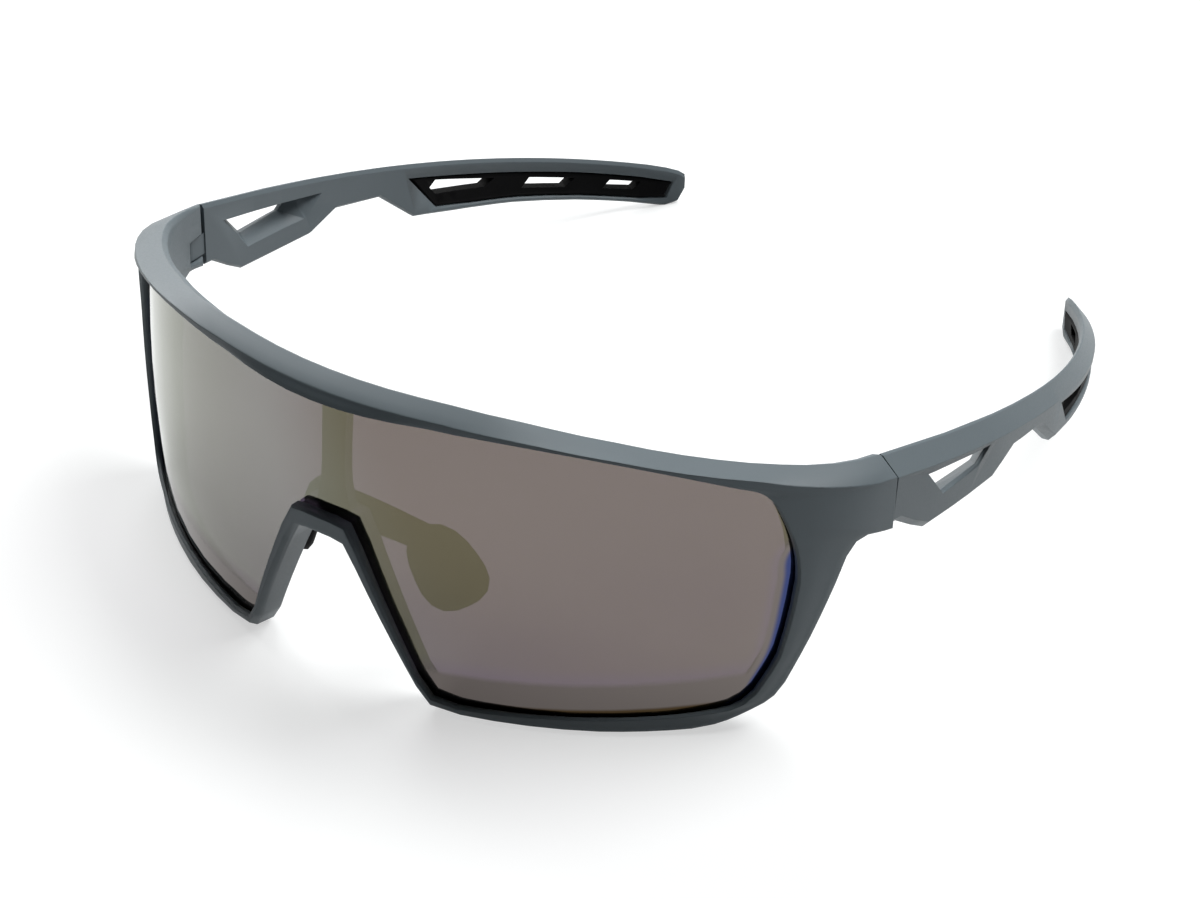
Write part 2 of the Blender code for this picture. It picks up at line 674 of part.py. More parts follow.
def grip_opening(side, tag):
    """The opening through to the outer face, which widens outwards."""
    floor = TEMPLE_THICKNESS - GRIP_DEPTH
    levels = ((-OVERRUN, GRIP_LEDGE * 0.2), (floor * 0.8, GRIP_LEDGE),
              (floor + GRIP_DEPTH / 2.0, GRIP_LEDGE))
    return rung_block("opening_" + tag, levels, side, 0.5)


def build_grip(side, tag, look):
    """A rubber insert flush with the inner face, with a boss that fills the ledge and three slots."""
    floor = TEMPLE_THICKNESS - GRIP_DEPTH + FIT_GAP
    face = TEMPLE_THICKNESS
    levels = ((floor, FIT_GAP), (face - EDGE_ROUND * 0.4, FIT_GAP), (face, FIT_GAP + EDGE_ROUND))
    grip = rung_block("temple_grip_" + tag, levels, side, 0.0)
    grip.data.materials.append(look)
    smooth(grip, math.radians(25.0))
    inset = GRIP_LEDGE + FIT_GAP
    boss_levels = ((floor - GRIP_BOSS, inset + EDGE_ROUND * 0.5), (floor - GRIP_BOSS * 0.6, inset),
                   (floor + GRIP_BOSS, inset))
    boolean(grip, rung_block("boss_" + tag, boss_levels, side, 0.5), "UNION")
    for k, shares in enumerate(SLOT_SHARES):
        slot = scaled_loop(shares)
        boolean(grip, bent_prism(f"slot_{tag}_{k}", slot, (-OVERRUN, TEMPLE_THICKNESS + OVERRUN), side))
    return grip


# Hinge places
KNUCKLE_LOW = KNUCKLE_TOP + KNUCKLE_HEIGHT


def pin_place(side):
    """The hinge axis, at the level of the top line."""
    place = bend(-PIN_AHEAD, PIN_INSET, 0.0, side)
    x, y = temple_line(0.0)
    heading = temple_heading(0.0)
    place.x = side * (x - math.cos(heading) * PIN_INSET - math.sin(heading) * PIN_AHEAD)
    place.y = y + math.sin(heading) * PIN_INSET - math.cos(heading) * PIN_AHEAD
    place.z = RIDGE_AT_SEAM
    return place


def hinge_frame(side, along, inward, up):
    """A point by its distance behind the axis, its distance inwards and its height."""
    heading = temple_heading(0.0)
    place = pin_place(side)
    ahead = Vector((side * math.sin(heading), math.cos(heading), 0.0))
    inside = Vector((-side * math.cos(heading), math.sin(heading), 0.0))
    return place + ahead * along + inside * inward + Vector((0.0, 0.0, up))


def knuckle_loop(radius, back, inner):
    """A round nose about the axis with straight sides running back to the temple."""
    loop = []
    steps = 10
    for k in range(steps + 1):
        angle = math.pi * k / steps
        loop.append((-radius * math.sin(angle), -radius * math.cos(angle)))
    loop.append((back, inner))
    loop.append((back, -radius))
    return loop


def build_knuckle(side, tag):
    """The tongue of the temple that turns between the two lugs of the front."""
    inner = TEMPLE_THICKNESS - PIN_INSET - EDGE_ROUND * 0.3
    loop = knuckle_loop(KNUCKLE_RADIUS, PIN_AHEAD + OVERRUN, inner)
    sections = []
    for h in (-KNUCKLE_TOP, -KNUCKLE_LOW):
        sections.append([hinge_frame(side, a, b, h) for a, b in loop])
    return new_object("knuckle_" + tag, loft(sections))


def hinge_cutters(side):
    """The slot for the tongue, the chamfers of the lugs, the screw's bore and its seats."""
    tag = "right" if side > 0 else "left"
    radius = KNUCKLE_RADIUS + FIT_GAP
    inner = TEMPLE_THICKNESS
    loop = []
    steps = 5
    for k in range(steps + 1):
        angle = math.pi / 2.0 * k / steps
        loop.append((-radius * math.sin(angle), -radius * math.cos(angle)))
    loop += [(-radius, inner), (PIN_AHEAD + OVERRUN, inner), (PIN_AHEAD + OVERRUN, -radius)]
    slot_top = -KNUCKLE_TOP + FIT_GAP
    slot_low = -KNUCKLE_LOW - FIT_GAP
    slot = new_object("slot_" + tag, loft(
        [[hinge_frame(side, a, b, h) for a, b in loop] for h in (slot_top, slot_low)]))
    face = TEMPLE_THICKNESS - PIN_INSET
    corner = [(PIN_AHEAD - LUG_CHAMFER - OVERRUN, face + OVERRUN),
              (PIN_AHEAD + OVERRUN, face - LUG_CHAMFER - OVERRUN),
              (PIN_AHEAD + OVERRUN, face + OVERRUN)]
    chamfer = new_object("chamfer_" + tag, loft(
        [[hinge_frame(side, a, b, h) for a, b in corner] for h in (OVERRUN, -SEAM_HEIGHT - OVERRUN)]))
    lug_low = -SEAM_HEIGHT + RIDGE_RISE
    bore = pin_bore(side, "lug_bore_" + tag, SCREW_RADIUS + PIN_GAP,
                    lug_low - OVERRUN, slot_top + EDGE_ROUND)
    seat = pin_bore(side, "head_seat_" + tag, SCREW_HEAD_RADIUS + PIN_GAP,
                    lug_low - OVERRUN, SCREW_SEAT)
    socket = pin_bore(side, "insert_hole_" + tag, INSERT_RADIUS + PIN_GAP,
                      slot_top - EDGE_ROUND, slot_top + INSERT_HEIGHT + FIT_GAP)
    return chamfer, slot, bore, seat, socket


def pin_bore(side, name, radius, low, high):
    centre = pin_place(side)
    return new_object(name, turned([(radius, low), (radius, high)], centre))


# Height of the face on which the screw's head seats, from the top line
SCREW_SEAT = -SEAM_HEIGHT + RIDGE_RISE + SCREW_HEAD_HEIGHT + FIT_GAP


def build_screw(side, tag, look):
    """A hinge screw driven in from below, into the insert of the upper lug."""
    top = -KNUCKLE_TOP + FIT_GAP + INSERT_HEIGHT - FIT_GAP
    head_top = SCREW_SEAT - FIT_GAP
    head_low = head_top - SCREW_HEAD_HEIGHT
    point = SCREW_RADIUS * 0.4
    profile = [(SCREW_HEAD_RADIUS * 0.85, head_low),
               (SCREW_HEAD_RADIUS, head_low + SCREW_HEAD_HEIGHT * 0.3),
               (SCREW_HEAD_RADIUS, head_top), (SCREW_RADIUS, head_top),
               (SCREW_RADIUS, top - point), (SCREW_RADIUS - point, top)]
    screw = new_object("hinge_screw_" + tag, turned(profile, pin_place(side)), look)
    smooth(screw)
    return screw


def build_insert(side, tag, look):
    """A brass bush in the upper lug that takes the screw's thread."""
    low = -KNUCKLE_TOP + FIT_GAP * 2.0
    high = low + INSERT_HEIGHT - FIT_GAP
    bore = SCREW_RADIUS + PIN_GAP * 0.75
    centre = pin_place(side)
    segments = 16
    mesh_bm = bmesh.new()
    rings = []
    for radius, height in ((bore, low), (INSERT_RADIUS, low), (INSERT_RADIUS, high), (bore, high)):
        ring = []
        for i in range(segments):
            angle = math.tau * i / segments
            offset = Vector((radius * math.cos(angle), radius * math.sin(angle), height))
            ring.append(mesh_bm.verts.new(centre + offset))
        rings.append(ring)
    for here, there in zip(rings, rings[1:] + rings[:1]):
        for i in range(segments):
            j = (i + 1) % segments
            mesh_bm.faces.new((here[i], here[j], there[j], there[i]))
    insert = new_object("hinge_insert_" + tag, mesh_bm, look)
    smooth(insert)
    return insert


# Nose piece places: the saddle lies behind the bridge, the pads stand off behind the legs
SADDLE_FRONT = BRIDGE_DEPTH + FIT_GAP
PAD_ACROSS_SHARE = 0.75
PAD_HEIGHT_SHARE = 0.62
PAD_STAND_OFF = 13.2 * MM
PAD_DOWN = Vector((0.42, 0.20, -0.88)).normalized()
PAD_BACK = Vector((0.50, 0.85, 0.25)).normalized()


def pad_centre():
    apex, _ = plan(0.0)
    across = NOTCH_HALF_WIDTH * PAD_ACROSS_SHARE
    return Vector((across, apex.y + PAD_STAND_OFF, BRIDGE_TOP * PAD_HEIGHT_SHARE))


def saddle_path():
    """Middle line of the saddle's right arm, from the middle to inside the pad."""
    apex, _ = plan(0.0)
    level = BRIDGE_TOP - BRIDGE_HEIGHT * 0.7
    depth = apex.y + SADDLE_FRONT + SADDLE_THICKNESS / 2.0
    pad = pad_centre()
    root = pad - PAD_DOWN * PAD_LENGTH * 0.34
    start = Vector((0.0, depth, level))
    knee = Vector((NOTCH_HALF_WIDTH * 0.36, depth + SADDLE_THICKNESS * 0.15, level - BRIDGE_HEIGHT * 0.05))
    steps = 9
    points = []
    for k in range(steps + 1):
        q = k / steps
        a = start.lerp(knee, q)
        b = knee.lerp(root, q)
        points.append(a.lerp(b, q))
    end = pad - PAD_DOWN * PAD_LENGTH * 0.10
    points.append(points[-1].lerp(end, 0.5))
    points.append(end)
    return points


def swept(path, half_size, corner_steps=3):
    """A tube of rounded oblong section along a path; half_size gives half height and thickness."""
    sections = []
    steps = len(path[1:])
    neighbours = zip(path[:1] + path[:-1], path, path[1:] + path[-1:])
    for k, (before, point, after) in enumerate(neighbours):
        along = (after - before).normalized()
        across = along.cross(Vector((0.0, 0.0, 1.0))).normalized()
        upward = across.cross(along).normalized()
        high, thick = half_size(k / steps)
        rim = []
        count = corner_steps * 4
        for i in range(count):
            angle = math.tau * (i + 0.5) / count
            c = math.cos(angle)
            s = math.sin(angle)
            squarish = (abs(c) ** 4 + abs(s) ** 4) ** -0.25
            rim.append(point + across * (thick * c * squarish) + upward * (high * s * squarish))
        sections.append(rim)
    return loft(sections)


def mirrored(path):
    return [Vector((-p.x, p.y, p.z)) for p in reversed(path[1:])] + path


def build_pad(side):
    """One crowned pad, a rounded oblong plate that faces the side of the nose."""
    centre = pad_centre()
    face = PAD_BACK.cross(PAD_DOWN).normalized()
    count = 20
    sections = []
    for depth_share, size_share in ((-0.5, 0.80), (-0.30, 0.97), (0.05, 1.0), (0.32, 0.88), (0.50, 0.55)):
        ring = []
        for i in range(count):
            angle = math.tau * i / count
            c = math.cos(angle)
            s = math.sin(angle)
            squarish = (abs(c) ** 2.6 + abs(s) ** 2.6) ** (-1.0 / 2.6)
            taper = 1.0 + 0.16 * s
            ring.append(centre + PAD_BACK * (PAD_WIDTH / 2.0 * size_share * c * squarish * taper)
                        + PAD_DOWN * (PAD_LENGTH / 2.0 * size_share * s * squarish)
                        - face * (PAD_THICKNESS * depth_share))
        sections.append(ring)
    pad = new_object(f"pad_{side}", loft(sections))
    if side < 0:
        pad.data.transform(Matrix.Scale(-1.0, 4, Vector((1.0, 0.0, 0.0))))
        pad.data.flip_normals()
    return pad


def build_nose_piece(look):
    path = mirrored(saddle_path())

    def half_size(share):
        middle = abs(share - 0.5) * 2.0
        return (SADDLE_HEIGHT / 2.0 * mix(1.0, 0.78, ease(middle)),
                SADDLE_THICKNESS / 2.0 * mix(1.0, 0.85, ease(middle)))

    saddle = new_object("nose_piece", swept(path, half_size), look)
    smooth(saddle)
    for side in (1, -1):
        boolean(saddle, build_pad(side), "UNION")
    channel = WIRE_RADIUS + FIT_GAP
    boolean(saddle, new_object("wire_channel", swept(path[1:-1], lambda share: (channel, channel), 2)))
    window = []
    apex, _ = plan(0.0)
    depth = apex.y + SADDLE_FRONT + SADDLE_THICKNESS / 2.0
    level = path[len(path) // 2].z
    for y in (depth, depth + SADDLE_THICKNESS):
        window.append([Vector((x * STRUT_WIDTH / 3.0, y, level + z * WIRE_RADIUS))
                       for x, z in ((-1, -1), (1, -1), (1, 1), (-1, 1))])
    boolean(saddle, new_object("wire_window", loft(window)))
    return saddle


def build_wire(look):
    path = mirrored(saddle_path())[1:-1]
    path[0] = path[0].lerp(path[1], 0.3)
    path[-1] = path[-1].lerp(path[-2], 0.3)
    wire = new_object("nose_wire", swept(path, lambda share: (WIRE_RADIUS, WIRE_RADIUS), 2), look)
    smooth(wire)
    return wire


def floor_cutter(tag):
    """Trims the standing faces flat at floor level."""
    reach = TEMPLE_LENGTH * 2.0
    corners = ((-reach, -reach), (reach, -reach), (reach, reach), (-reach, reach))
    slope = math.tan(STAND_LEAN)
    sections = []
    for below in (-TEMPLE_DEPTH, 0.0):
        sections.append([Vector((x, y, FLOOR_UNDER_SEAM + slope * y + below)) for x, y in corners])
    return new_object("floor_" + tag, loft(sections))


def hang_on(piece, carrier, shift):
    """Parents a piece and its cutters to an empty that stands at the shift from their origin."""
    members = [piece] + [step.object for step in piece.modifiers if step.type == "BOOLEAN"]
    for member in members:
        member.data.transform(Matrix.Translation(-shift))
        member.parent = carrier


def empty(name, place):
    made = bpy.data.objects.new(name, None)
    bpy.context.scene.collection.objects.link(made)
    made.location = place
    return made


def standing_place(pieces, tilt):
    """Where the root goes so that the whole stands on the floor, centred on the origin."""
    bpy.context.view_layer.update()
    graph = bpy.context.evaluated_depsgraph_get()
    ys = []
    for piece in pieces:
        shaped = piece.evaluated_get(graph)
        ys += [(tilt @ shaped.matrix_world @ vertex.co).y for vertex in shaped.data.vertices]
    return Vector((0.0, -(min(ys) + max(ys)) / 2.0, -FLOOR_UNDER_SEAM * math.cos(STAND_LEAN)))


def build_all():
    for old in list(bpy.data.objects):
        bpy.data.objects.remove(old, do_unlink=True)
    nylon = material("matte_grey_nylon", (0.105, 0.125, 0.140), 0.55)
    glass = material("mirrored_lens", (0.19, 0.17, 0.16), 0.08, 0.7, 0.6)
    rubber = material("black_rubber", (0.012, 0.012, 0.013), 0.75)
    steel = material("screw_steel", (0.55, 0.55, 0.56), 0.3, 1.0)
    brass = material("insert_brass", (0.70, 0.52, 0.25), 0.35, 1.0)

    fixed = [build_front(nylon), build_lens(glass), build_nose_piece(rubber), build_wire(steel)]
    hinged = []
    for side, tag in ((1, "right"), (-1, "left")):
        fixed += [build_screw(side, tag, steel), build_insert(side, tag, brass)]
        hinge = empty(f"temple_{tag}_hinge", pin_place(side))
        for piece in (build_temple(side, tag, nylon), build_grip(side, tag, rubber)):
            hang_on(piece, hinge, hinge.location)
            hinged.append(piece)

    tilt = Matrix.Rotation(-STAND_LEAN, 4, "X")
    whole = empty("sunglasses", standing_place(fixed + hinged, tilt))
    whole.rotation_euler = tilt.to_euler()
    for piece in fixed:
        hang_on(piece, whole, Vector())
    for tag in ("right", "left"):
        bpy.data.objects[f"temple_{tag}_hinge"].parent = whole


build_all()
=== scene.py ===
"""Finish, stage and camera for a pair of wraparound sunglasses, laid out as an add-on.

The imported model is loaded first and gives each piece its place. Each operator below finishes one
piece or one group of like pieces, and the last one sets up the studio.
"""
import json
import math

import bpy
from mathutils import Matrix, Vector

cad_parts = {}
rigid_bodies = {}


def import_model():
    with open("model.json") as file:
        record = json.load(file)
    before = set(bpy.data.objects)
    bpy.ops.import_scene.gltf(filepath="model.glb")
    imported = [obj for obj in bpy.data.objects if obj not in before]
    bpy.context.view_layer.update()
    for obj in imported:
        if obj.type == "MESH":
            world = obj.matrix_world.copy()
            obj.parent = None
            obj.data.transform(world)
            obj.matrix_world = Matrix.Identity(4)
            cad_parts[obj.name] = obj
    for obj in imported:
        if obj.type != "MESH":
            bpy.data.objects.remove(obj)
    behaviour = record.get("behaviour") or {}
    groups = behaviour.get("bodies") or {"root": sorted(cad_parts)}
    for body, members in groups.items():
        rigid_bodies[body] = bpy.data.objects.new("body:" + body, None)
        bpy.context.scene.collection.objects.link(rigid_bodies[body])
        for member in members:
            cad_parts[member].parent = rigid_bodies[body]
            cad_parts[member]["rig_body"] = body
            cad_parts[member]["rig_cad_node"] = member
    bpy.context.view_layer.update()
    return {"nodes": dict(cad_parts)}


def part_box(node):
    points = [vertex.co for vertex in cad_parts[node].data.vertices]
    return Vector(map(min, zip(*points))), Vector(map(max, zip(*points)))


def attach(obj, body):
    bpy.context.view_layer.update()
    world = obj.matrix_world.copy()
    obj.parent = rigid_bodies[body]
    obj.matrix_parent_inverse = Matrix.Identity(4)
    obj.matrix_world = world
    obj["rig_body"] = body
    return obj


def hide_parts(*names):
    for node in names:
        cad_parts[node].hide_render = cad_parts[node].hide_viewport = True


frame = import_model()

bl_info = {
    "name": "Wraparound Sunglasses Finish",
    "version": (1, 0, 0),
    "blender": (4, 5, 0),
    "location": "View3D > Sidebar > Sunglasses",
    "description": "Finishes a packed pair of wraparound sunglasses and sets up its studio",
    "category": "Object",
}

MM = 0.001
SIDES = ("right", "left")
WHITE = (1.0, 1.0, 1.0, 1.0)

# how far the front leans from upright
LEAN = math.radians(1.15)

# the lens's side edge, as height over the table and reach from the middle, in millimetres
LENS_SIDE_EDGE = (
    (0.0, 52.0), (4.2, 56.6), (6.9, 59.2), (9.1, 60.1), (11.3, 60.9), (13.6, 61.6),
    (17.9, 62.3), (22.3, 62.7), (26.7, 63.0), (31.0, 63.2), (35.0, 65.0), (60.0, 70.0),
)
# how much the lower edge of the lens rises for each step outwards
LOW_EDGE_RISE = 0.0745
# the lens turns away at its ends, where a step along it is twice its step across
ALONG_PER_ACROSS = 2.0
# the ledge under the lens shows less deep at the sides than along the lower edge
SIDE_LEDGE_SHARE = 1.5
# round between the ledge's border along the side and the one along the lower edge
LEDGE_CORNER = 1.5 * MM

# painted shade, refraction and reflection on the lens near its rim: how far in each is still full, and
# where it has gone
LEDGE_FADE = (5.4 * MM, 9.0 * MM)
LOW_LINE_FADE = (0.9 * MM, 1.4 * MM)
END_LINE_FADE = (1.9 * MM, 3.1 * MM)

# places of the lens's materials, and how squarely the faces of its two skins face in or out
OUTER_SKIN = 0
CUT_EDGE = 1
INNER_SKIN = 2
SKIN_FACING = 0.6

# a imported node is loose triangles, and corners closer than this are the same one
MERGE_DISTANCE = 0.002 * MM
# faces of the screws and bushes that meet at less than this, in degrees, are shaded as one
METAL_SMOOTHING = 30.0

# the table stands just under the rims, so that no face of it lies in theirs
TABLE_DROP = 0.02 * MM


def colour_property(name, description, default):
    """A colour, written as sRGB hex."""
    described = description + ", as sRGB hex"
    return bpy.props.StringProperty(name=name, description=described, default=default)


def length_property(name, description, default):
    """A length in metres."""
    return bpy.props.FloatProperty(name=name, description=description, default=default, min=0.0,
                                   subtype="DISTANCE", unit="LENGTH", precision=5)


def share_property(name, description, default):
    """A share from 0 to 1."""
    return bpy.props.FloatProperty(name=name, description=description, default=default, min=0.0,
                                   max=1.0, subtype="FACTOR")


def angle_property(name, description, degrees):
    """An angle, written in degrees."""
    return bpy.props.FloatProperty(name=name, description=description,
                                   default=math.radians(degrees), subtype="ANGLE")


def place_property(name, description, millimetres):
    """A place, written in millimetres."""
    return bpy.props.FloatVectorProperty(
        name=name, description=description, default=tuple(value * MM for value in millimetres),
        subtype="TRANSLATION", unit="LENGTH", precision=5)


# Sizes and colours that a user may change

class NylonSettings(bpy.types.PropertyGroup):
    colour: colour_property("Colour", "Main grey of the lacquered nylon", "#616b70")
    pale: colour_property("Pale Colour", "Slightly paler grey of the mottling", "#687277")
    roughness: share_property("Roughness", "Spread of the soft-touch sheen", 0.44)
    grain: length_property("Grain", "Distance between the grains of the lacquer", 0.35 * MM)
    mottle: length_property("Mottle", "Distance between the paler clouds", 14.0 * MM)
    edge: length_property("Edge Round", "Radius that light shows along the moulded edges", 0.22 * MM)


class LensSettings(bpy.types.PropertyGroup):
    mirror: colour_property("Mirror Colour", "Olive gold of the flash mirror", "#706a55")
    turned_mirror: colour_property(
        "Turned Mirror Colour", "Paler grey of the mirror seen from the side", "#84867a")
    # painted reflection: the blue along the ends stands for the hue that the mirror shows where the
    # lens turns away from the eye
    end_reflection_blue: colour_property(
        "End Mirror Colour", "Blue of the mirror along the lens's ends", "#3a4470")
    # painted shade: the brown near the rim stands for the table's shadow seen in the mirror, and the
    # lens lets nothing through there
    border_shade: colour_property("Border Colour", "Brown of the lens over the ledge behind it", "#706966")
    # painted light: the amber line along the lower edge stands for light bent through the lens's edge
    low_refraction_line: colour_property(
        "Low Edge Colour", "Amber line of the mirror along the lower edge", "#4a3c28")
    # painted shade: the edge is drawn near black to stand for the shadowed gap between the lens and the
    # rim
    edge_shade: colour_property("Ground Edge Colour", "Smoke black of the lens's cut edge", "#0b0a0a")
    tint: colour_property("Tint", "Colour that one skin of the lens lets through", "#efe2f6")
    cover: share_property("Cover", "Share of the light that one skin stops, seen squarely", 0.70)
    roughness: share_property("Roughness", "Haze of the mirror", 0.06)
    curve_radius: length_property("Curve Radius", "Radius of the shield curve over the face", 80.0 * MM)
    end_radius: length_property("End Radius", "Radius of the tighter curve at the ends", 35.1 * MM)
    curve_angle: angle_property(
        "Curve Angle", "Angle at which the shield curve gives way to the tighter one", 51.0)
    crown_radius: length_property("Crown Radius", "Radius of the crown from top to bottom", 250.0 * MM)
    curve_place: place_property(
        "Curve Place", "Centre of the shield curve at half the height of the front",
        (0.0, -2.068, 25.504))


class RubberSettings(bpy.types.PropertyGroup):
    colour: colour_property("Colour", "Black of the rubber", "#060607")
    worn: colour_property("Worn Colour", "Greyer black where the rubber is rubbed", "#0c0c0d")
    roughness: share_property("Roughness", "Spread of the rubber's sheen", 0.58)
    grain: length_property("Grain", "Distance between the grains of the blasted mould", 0.4 * MM)


class HingeSettings(bpy.types.PropertyGroup):
    steel: colour_property("Steel Colour", "Bare stainless steel", "#b9babd")
    brass: colour_property("Brass Colour", "Turned brass", "#c79a55")
    recess_span: length_property("Recess Span", "Length of each arm of the cross recess", 1.3 * MM)
    recess_width: length_property("Recess Width", "Width of each arm of the cross recess", 0.32 * MM)
    recess_depth: length_property("Recess Depth", "Depth of the cross recess", 0.5 * MM)


class StudioSettings(bpy.types.PropertyGroup):
    camera_place: place_property(
        "Camera Place", "Where the camera stands", (226.6459, -342.9127, 263.3252))
    camera_azimuth: angle_property(
        "Camera Azimuth", "Direction of the camera round the glasses, 0 at the front", 34.151016)
    camera_elevation: angle_property(
        "Camera Elevation", "Angle at which the camera looks down", 32.743806)
    camera_roll: angle_property("Camera Roll", "Turn of the picture", 1.038594)
    focal_length: bpy.props.FloatProperty(
        name="Focal Length", description="Focal length on a sensor 36 mm wide", default=84.0,
        subtype="DISTANCE_CAMERA")
    floor: colour_property("Floor Colour", "Colour of the table under the lamps", "#b8baba")
    clouds: colour_property("Floor Cloud Colour", "Slightly paler clouds of the table", "#bcbebe")
    bounce: colour_property(
        "Bounce Colour", "Colour with which the table lights the glasses", "#7e8082")
    glow: bpy.props.FloatProperty(
        name="Floor Glow", description="White that the eye sees added to the lit table at its middle",
        default=0.57, min=0.0, max=1.0)
    ambient: bpy.props.FloatProperty(
        name="Ambient", description="Strength of the light from all round", default=0.04, min=0.0)
    key_power: bpy.props.FloatProperty(
        name="Key Power", description="Power of the large lamp overhead", default=35.0, min=0.0,
        unit="POWER")
    back_power: bpy.props.FloatProperty(
        name="Back Power", description="Power of the lamp behind the left corner", default=16.0,
        min=0.0, unit="POWER")


# Materials

def linear(hex_colour):
    """Linear colour of an sRGB hex value, with full alpha."""
    channels = []
    for i in (1, 3, 5):
        share = int(hex_colour[i:i + 2], 16) / 255.0
        channels.append(share / 12.92 if share <= 0.04045 else ((share + 0.055) / 1.055) ** 2.4)
    return (*channels, 1.0)


def add_node(tree, kind, values=None, links=None, **settings):
    """Adds a shader node with its settings, its socket values and the sockets that feed it."""
    made = tree.nodes.new(kind)
    for name, value in settings.items():
        setattr(made, name, value)
    for socket, value in (values or {}).items():
        made.inputs[socket].default_value = value
    for socket, source in (links or {}).items():
        tree.links.new(source, made.inputs[socket])
    return made


def new_material(name):
    """An empty material with its output node and its object coordinates."""
    made = bpy.data.materials.new(name)
    made.use_nodes = True
    tree = made.node_tree
    tree.nodes.clear()
    output = add_node(tree, "ShaderNodeOutputMaterial")
    place = add_node(tree, "ShaderNodeTexCoord").outputs["Object"]
    return made, tree, output, place


def lacquered_nylon(settings):
    """Injection-moulded nylon under a soft-touch grey lacquer.

    The lacquer's fine grain spreads the light into a soft sheen. The moulded edges are never quite
    sharp, and the grey is a little cloudy.
    """
    made, tree, output, place = new_material("lacquered_nylon")
    clouds = add_node(tree, "ShaderNodeTexNoise", {"Scale": 1.0 / settings.mottle, "Detail": 3.0},
                      {"Vector": place})
    # real grains are about 0.1 mm apart, drawn coarser so that they show
    grains = add_node(tree, "ShaderNodeTexNoise", {"Scale": 1.0 / settings.grain, "Detail": 2.0},
                      {"Vector": place})
    colour = add_node(tree, "ShaderNodeMix", {6: linear(settings.colour), 7: linear(settings.pale)},
                      {0: clouds.outputs["Fac"]}, data_type="RGBA")
    rough = add_node(tree, "ShaderNodeMapRange",
                     {"From Min": 0.3, "From Max": 0.7, "To Min": settings.roughness - 0.04,
                      "To Max": settings.roughness + 0.05}, {"Value": grains.outputs["Fac"]})
    edges = add_node(tree, "ShaderNodeBevel", {"Radius": settings.edge}, samples=4)
    bumps = add_node(tree, "ShaderNodeBump", {"Strength": 0.12, "Distance": 0.03 * MM},
                     {"Height": grains.outputs["Fac"], "Normal": edges.outputs["Normal"]})
    shader = add_node(tree, "ShaderNodeBsdfPrincipled", {"Specular IOR Level": 0.3, "IOR": 1.5},
                      {"Base Color": colour.outputs[2], "Roughness": rough.outputs["Result"],
                       "Normal": bumps.outputs["Normal"]})
    tree.links.new(shader.outputs["BSDF"], output.inputs["Surface"])
    return made


def flash_mirror_lens(settings):
    """Smoke-brown polycarbonate with a thin olive-gold flash mirror.

    Little light passes each skin, so the strut and the pads show only as darker shapes, and none
    passes over the ledge behind the rim, where a brown of painted shade stands for the table's
    shadow in the mirror. The mirror pales when it is seen from the side, and near the rim it ends
    in a painted amber line of light bent through the edge below and a painted blue reflection at
    the sides.
    """
    made, tree, output, place = new_material("flash_mirror_lens")
    parts = add_node(tree, "ShaderNodeSeparateXYZ", links={"Vector": place})
    width = add_node(tree, "ShaderNodeMath", links={0: parts.outputs["X"]}, operation="ABSOLUTE")
    side_room, room = room_to_rim(tree, parts.outputs["Z"], width.outputs["Value"])
    turned = add_node(tree, "ShaderNodeLayerWeight", {"Blend": 0.5})
    paled = add_node(tree, "ShaderNodeMapRange", {"From Min": 0.22, "From Max": 0.45},
                     {"Value": turned.outputs["Facing"]}, interpolation_type="SMOOTHSTEP")
    middle = add_node(tree, "ShaderNodeMix",
                      {6: linear(settings.mirror), 7: linear(settings.turned_mirror)},
                      {0: paled.outputs["Result"]}, data_type="RGBA")
    colour = middle.outputs[2]
    # bands of painted shade, painted refraction and painted reflection near the rim
    painted_rim_bands = {}
    for name, distance, (full, gone), falloff in (
            ("border_shade", room, LEDGE_FADE, "LINEAR"),
            ("low_refraction_line", room, LOW_LINE_FADE, "LINEAR"),
            ("end_reflection_blue", side_room, END_LINE_FADE, "SMOOTHSTEP")):
        fade = add_node(tree, "ShaderNodeMapRange",
                        {"From Min": full, "From Max": gone, "To Min": 1.0, "To Max": 0.0},
                        {"Value": distance}, interpolation_type=falloff)
        painted_rim_bands[name] = fade.outputs["Result"]
        coloured = add_node(tree, "ShaderNodeMix", {7: linear(getattr(settings, name))},
                            {0: painted_rim_bands[name], 6: colour}, data_type="RGBA")
        colour = coloured.outputs[2]
    streaks = add_node(tree, "ShaderNodeTexNoise", {"Scale": 1.0 / (45.0 * MM), "Detail": 1.0},
                       {"Vector": place})
    haze = add_node(tree, "ShaderNodeMapRange",
                    {"To Min": settings.roughness * 0.7, "To Max": settings.roughness * 1.3},
                    {"Value": streaks.outputs["Fac"]})
    shader = add_node(tree, "ShaderNodeBsdfPrincipled", {"Metallic": 1.0},
                      {"Base Color": colour, "Roughness": haze.outputs["Result"]})
    through = add_node(tree, "ShaderNodeBsdfTransparent", {"Color": linear(settings.tint)})
    cover = add_node(tree, "ShaderNodeMapRange",
                     {"From Min": 0.35, "From Max": 0.95, "To Min": settings.cover, "To Max": 1.0},
                     {"Value": turned.outputs["Facing"]})
    closed = add_node(tree, "ShaderNodeMath",
                      links={0: cover.outputs["Result"], 1: painted_rim_bands["border_shade"]}, operation="MAXIMUM")
    skin = add_node(tree, "ShaderNodeMixShader",
                    links={0: closed.outputs["Value"], 1: through.outputs["BSDF"],
                           2: shader.outputs["BSDF"]})
    tree.links.new(skin.outputs["Shader"], output.inputs["Surface"])
    return made


